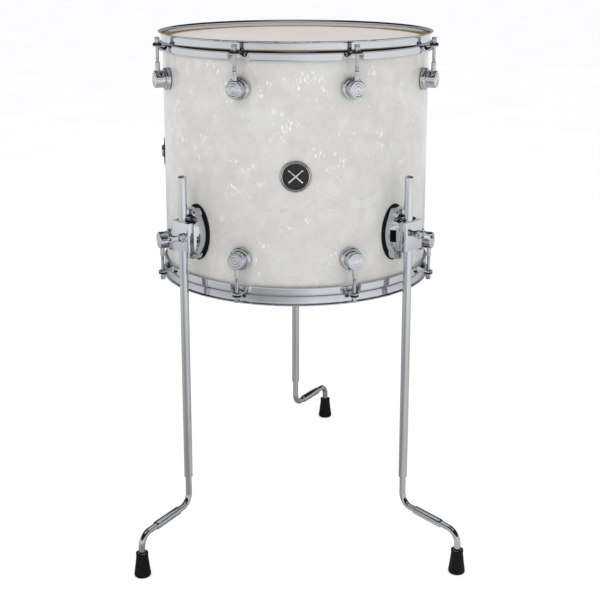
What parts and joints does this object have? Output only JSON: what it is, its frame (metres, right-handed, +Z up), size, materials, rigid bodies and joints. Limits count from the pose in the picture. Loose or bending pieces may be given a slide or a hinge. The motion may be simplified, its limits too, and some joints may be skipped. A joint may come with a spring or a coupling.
{
  "type": "floor tom drum",
  "caption": "Floor tom: pearl-wrapped ply shell with a head and flanged hoop at each end, turret lugs, and three height-adjustable legs in hinged clamp brackets.",
  "frame": {"origin": "on the floor, at the middle of the outer box in X and Y; the drum's own axis stands -6.46 mm along X and -34.78 mm along Y from it", "axes": "+Z up along the drum's axis, front with the badge towards -Y, +X to the right seen from the front"},
  "size_m": [0.4846, 0.614, 0.7716],
  "materials": {
    "maple": "lacquered",
    "pearl_wrap": "glossy pearl",
    "coated_film": "coated, matt",
    "clear_film": "hazy film",
    "aluminium": "mill",
    "gasket_rubber": "matt",
    "nylon": "matt",
    "black_plate": "gloss",
    "satin_steel": "satin",
    "zinc_steel": "zinc plated",
    "foot_rubber": "moulded, satin",
    "chrome": "polished"
  },
  "bodies": {
    "drum": {"shell_plies": "maple", "shell_wrap": "pearl_wrap", "top_hoop": "chrome", "bottom_hoop": "chrome", "batter_head_film": "coated_film", "batter_flesh_hoop": "aluminium", "resonant_head_film": "clear_film", "resonant_flesh_hoop": "aluminium", "lug_gaskets": "gasket_rubber", "lug_feet": "chrome", "lug_turrets": "chrome", "swivel_nut_sleeves": "satin_steel", "lug_screws": "zinc_steel", "rod_washers": "nylon", "badge_plate": "black_plate", "badge_emblem": "chrome", "vent_plate": "black_plate", "vent_grommet": "chrome", "bracket_gaskets": "gasket_rubber", "bracket_bases": "chrome", "bracket_screws": "zinc_steel", "clamp_hinge_pins": "zinc_steel"},
    "leg_tube_left": {"leg_tube_left": "chrome"},
    "leg_left": {"leg_rod_left": "chrome", "leg_collar_left": "chrome", "foot_left": "foot_rubber"},
    "clamp_left": {"clamp_left": "chrome", "clamp_bolt_left": "zinc_steel"},
    "wing_nut_left": {"wing_nut_left": "chrome"},
    "leg_tube_right": {"leg_tube_right": "chrome"},
    "leg_right": {"leg_rod_right": "chrome", "leg_collar_right": "chrome", "foot_right": "foot_rubber"},
    "clamp_right": {"clamp_right": "chrome", "clamp_bolt_right": "zinc_steel"},
    "wing_nut_right": {"wing_nut_right": "chrome"},
    "leg_tube_rear": {"leg_tube_rear": "chrome"},
    "leg_rear": {"leg_rod_rear": "chrome", "leg_collar_rear": "chrome", "foot_rear": "foot_rubber"},
    "clamp_rear": {"clamp_rear": "chrome", "clamp_bolt_rear": "zinc_steel"},
    "wing_nut_rear": {"wing_nut_rear": "chrome"},
    "top_rod_1": {"top_rod_1": "chrome"},
    "top_rod_2": {"top_rod_2": "chrome"},
    "top_rod_3": {"top_rod_3": "chrome"},
    "top_rod_4": {"top_rod_4": "chrome"},
    "top_rod_5": {"top_rod_5": "chrome"},
    "top_rod_6": {"top_rod_6": "chrome"},
    "top_rod_7": {"top_rod_7": "chrome"},
    "top_rod_8": {"top_rod_8": "chrome"},
    "bottom_rod_1": {"bottom_rod_1": "chrome"},
    "bottom_rod_2": {"bottom_rod_2": "chrome"},
    "bottom_rod_3": {"bottom_rod_3": "chrome"},
    "bottom_rod_4": {"bottom_rod_4": "chrome"},
    "bottom_rod_5": {"bottom_rod_5": "chrome"},
    "bottom_rod_6": {"bottom_rod_6": "chrome"},
    "bottom_rod_7": {"bottom_rod_7": "chrome"},
    "bottom_rod_8": {"bottom_rod_8": "chrome"}
  },
  "joints": [
    {"name": "leg_height_left", "type": "slide", "parent": "drum", "child": "leg_tube_left", "axis": [0, 0, 1], "range_m": [-0.055, 0.24]},
    {"name": "leg_turn_left", "type": "hinge", "parent": "leg_tube_left", "child": "leg_left", "pos_m": [-0.16944, -0.19777, 0.11], "axis": [0, 0, 1], "continuous": true},
    {"name": "clamp_swing_left", "type": "hinge", "parent": "drum", "child": "clamp_left", "pos_m": [-0.17864, -0.18858, 0.489], "axis": [0, 0, -1], "range_deg": [0, 8]},
    {"name": "wing_nut_spin_left", "type": "hinge", "parent": "clamp_left", "child": "wing_nut_left", "pos_m": [-0.16845, -0.21446, 0.489], "axis": [-0.7071, -0.7071, 0], "continuous": true},
    {"name": "leg_height_right", "type": "slide", "parent": "drum", "child": "leg_tube_right", "axis": [0, 0, 1], "range_m": [-0.055, 0.24]},
    {"name": "leg_turn_right", "type": "hinge", "parent": "leg_tube_right", "child": "leg_right", "pos_m": [0.15653, -0.19777, 0.11], "axis": [0, 0, 1], "continuous": true},
    {"name": "clamp_swing_right", "type": "hinge", "parent": "drum", "child": "clamp_right", "pos_m": [0.14734, -0.20696, 0.489], "axis": [0, 0, -1], "range_deg": [0, 8]},
    {"name": "wing_nut_spin_right", "type": "hinge", "parent": "clamp_right", "child": "wing_nut_right", "pos_m": [0.17322, -0.19678, 0.489], "axis": [0.7071, -0.7071, 0], "continuous": true},
    {"name": "leg_height_rear", "type": "slide", "parent": "drum", "child": "leg_tube_rear", "axis": [0, 0, 1], "range_m": [-0.055, 0.24]},
    {"name": "leg_turn_rear", "type": "hinge", "parent": "leg_tube_rear", "child": "leg_rear", "pos_m": [-0.00646, 0.19572, 0.11], "axis": [0, 0, 1], "continuous": true},
    {"name": "clamp_swing_rear", "type": "hinge", "parent": "drum", "child": "clamp_rear", "pos_m": [0.00654, 0.19572, 0.489], "axis": [0, 0, -1], "range_deg": [0, 8]},
    {"name": "wing_nut_spin_rear", "type": "hinge", "parent": "clamp_rear", "child": "wing_nut_rear", "pos_m": [-0.01896, 0.20682, 0.489], "axis": [0, 1, 0], "continuous": true},
    {"name": "top_rod_1_turn", "type": "hinge", "parent": "drum", "child": "top_rod_1", "pos_m": [0.07754, -0.23758, 0.7307], "axis": [0, 0, 1], "continuous": true},
    {"name": "top_rod_2_turn", "type": "hinge", "parent": "drum", "child": "top_rod_2", "pos_m": [0.19634, -0.11878, 0.7307], "axis": [0, 0, 1], "continuous": true},
    {"name": "top_rod_3_turn", "type": "hinge", "parent": "drum", "child": "top_rod_3", "pos_m": [0.19634, 0.04921, 0.7307], "axis": [0, 0, 1], "continuous": true},
    {"name": "top_rod_4_turn", "type": "hinge", "parent": "drum", "child": "top_rod_4", "pos_m": [0.07754, 0.16801, 0.7307], "axis": [0, 0, 1], "continuous": true},
    {"name": "top_rod_5_turn", "type": "hinge", "parent": "drum", "child": "top_rod_5", "pos_m": [-0.09046, 0.16801, 0.7307], "axis": [0, 0, 1], "continuous": true},
    {"name": "top_rod_6_turn", "type": "hinge", "parent": "drum", "child": "top_rod_6", "pos_m": [-0.20925, 0.04921, 0.7307], "axis": [0, 0, 1], "continuous": true},
    {"name": "top_rod_7_turn", "type": "hinge", "parent": "drum", "child": "top_rod_7", "pos_m": [-0.20925, -0.11878, 0.7307], "axis": [0, 0, 1], "continuous": true},
    {"name": "top_rod_8_turn", "type": "hinge", "parent": "drum", "child": "top_rod_8", "pos_m": [-0.09046, -0.23758, 0.7307], "axis": [0, 0, 1], "continuous": true},
    {"name": "bottom_rod_1_turn", "type": "hinge", "parent": "drum", "child": "bottom_rod_1", "pos_m": [0.07754, -0.23758, 0.4359], "axis": [0, 0, 1], "continuous": true},
    {"name": "bottom_rod_2_turn", "type": "hinge", "parent": "drum", "child": "bottom_rod_2", "pos_m": [0.19634, -0.11878, 0.4359], "axis": [0, 0, 1], "continuous": true},
    {"name": "bottom_rod_3_turn", "type": "hinge", "parent": "drum", "child": "bottom_rod_3", "pos_m": [0.19634, 0.04921, 0.4359], "axis": [0, 0, 1], "continuous": true},
    {"name": "bottom_rod_4_turn", "type": "hinge", "parent": "drum", "child": "bottom_rod_4", "pos_m": [0.07754, 0.16801, 0.4359], "axis": [0, 0, 1], "continuous": true},
    {"name": "bottom_rod_5_turn", "type": "hinge", "parent": "drum", "child": "bottom_rod_5", "pos_m": [-0.09046, 0.16801, 0.4359], "axis": [0, 0, 1], "continuous": true},
    {"name": "bottom_rod_6_turn", "type": "hinge", "parent": "drum", "child": "bottom_rod_6", "pos_m": [-0.20925, 0.04921, 0.4359], "axis": [0, 0, 1], "continuous": true},
    {"name": "bottom_rod_7_turn", "type": "hinge", "parent": "drum", "child": "bottom_rod_7", "pos_m": [-0.20925, -0.11878, 0.4359], "axis": [0, 0, 1], "continuous": true},
    {"name": "bottom_rod_8_turn", "type": "hinge", "parent": "drum", "child": "bottom_rod_8", "pos_m": [-0.09046, -0.23758, 0.4359], "axis": [0, 0, 1], "continuous": true}
  ]
}
